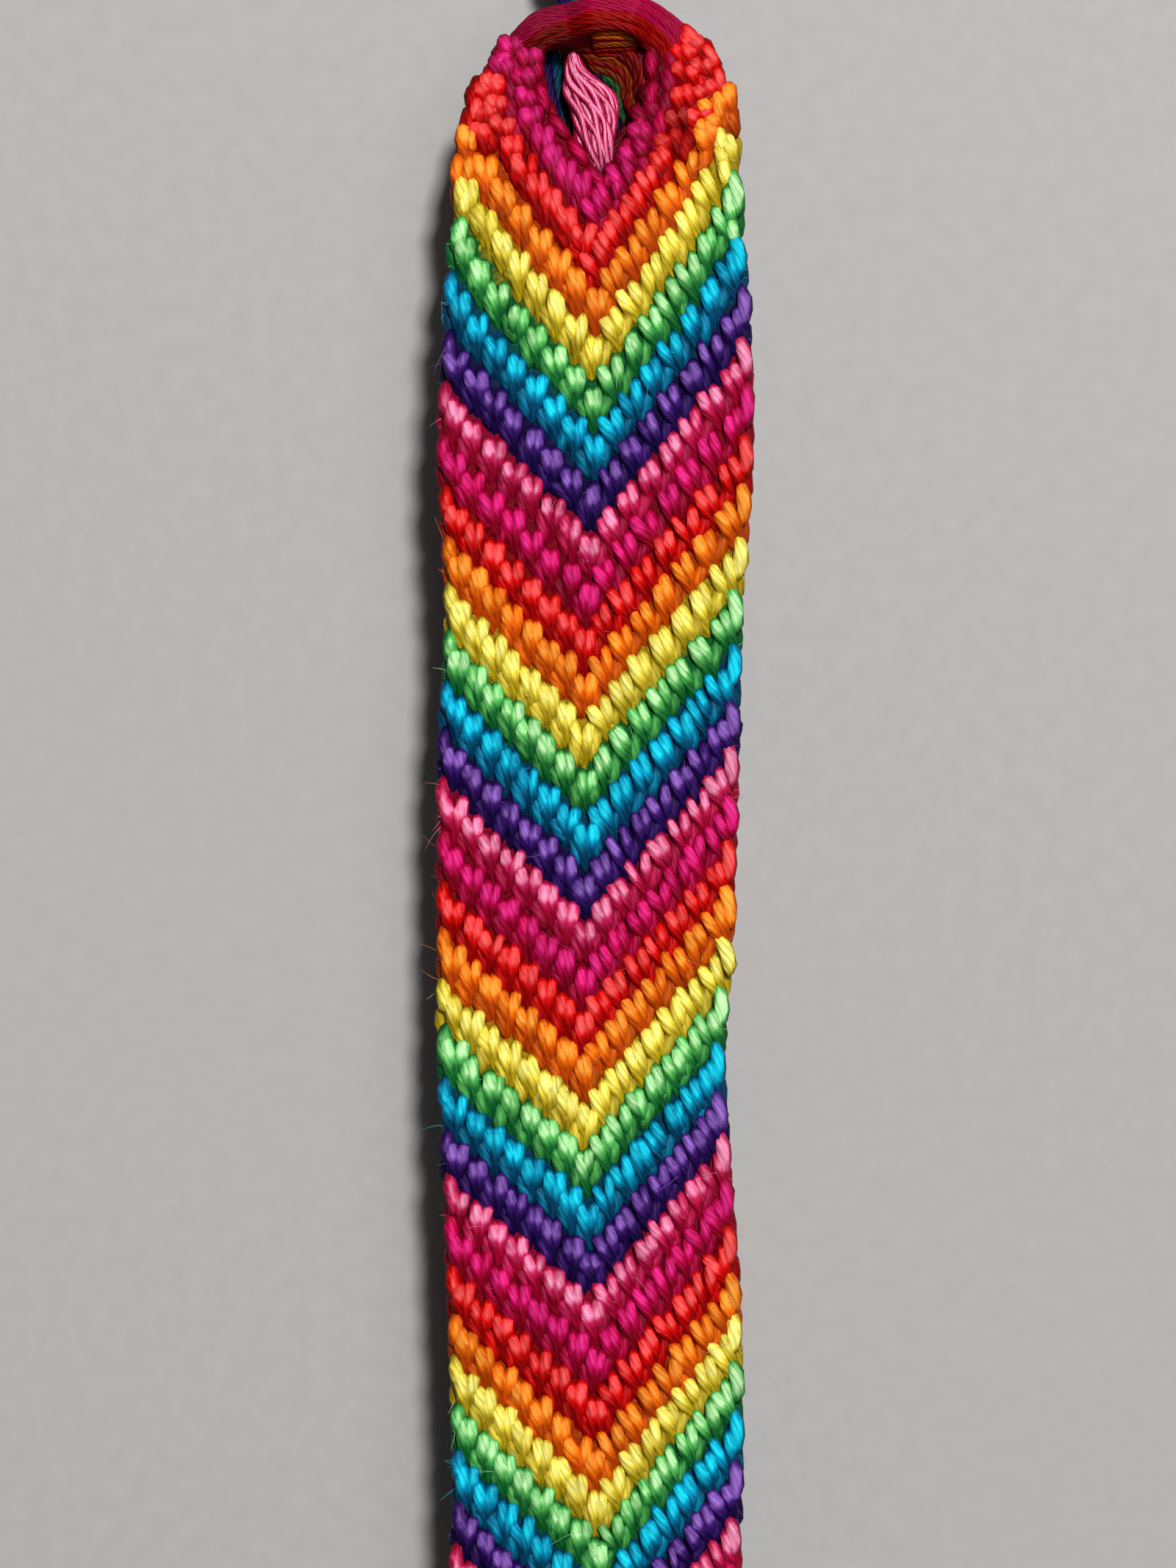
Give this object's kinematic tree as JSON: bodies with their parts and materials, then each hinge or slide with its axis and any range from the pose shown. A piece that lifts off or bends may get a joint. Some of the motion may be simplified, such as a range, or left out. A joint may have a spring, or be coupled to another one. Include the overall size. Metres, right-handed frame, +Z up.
{
  "type": "string bracelet",
  "caption": "Knotted string bracelet in rainbow chevrons, a flat band with a loop end, tied closed and lying flattened.",
  "frame": {"origin": "centre of the footprint of the bracelet as it lies flattened, on the surface that it lies on", "axes": "+Y along the band towards the loop end, +X across the band, +Z up from the surface"},
  "size_m": [0.017, 0.104, 0.009],
  "materials": {
    "knotted_floss": "knotted cotton embroidery floss in eight colours, soft sheen",
    "loop_floss": "knotted cotton embroidery floss, magenta and red, soft sheen",
    "tie_floss": "loose twisted cotton embroidery floss, soft sheen"
  },
  "bodies": {
    "root": {"knotted_band": "knotted_floss", "end_loop": "loop_floss", "tie_under": "tie_floss", "tie_over": "tie_floss", "tie_knot": "tie_floss", "tie_tail_left": "tie_floss", "tie_tail_right": "tie_floss"}
  },
  "joints": []
}
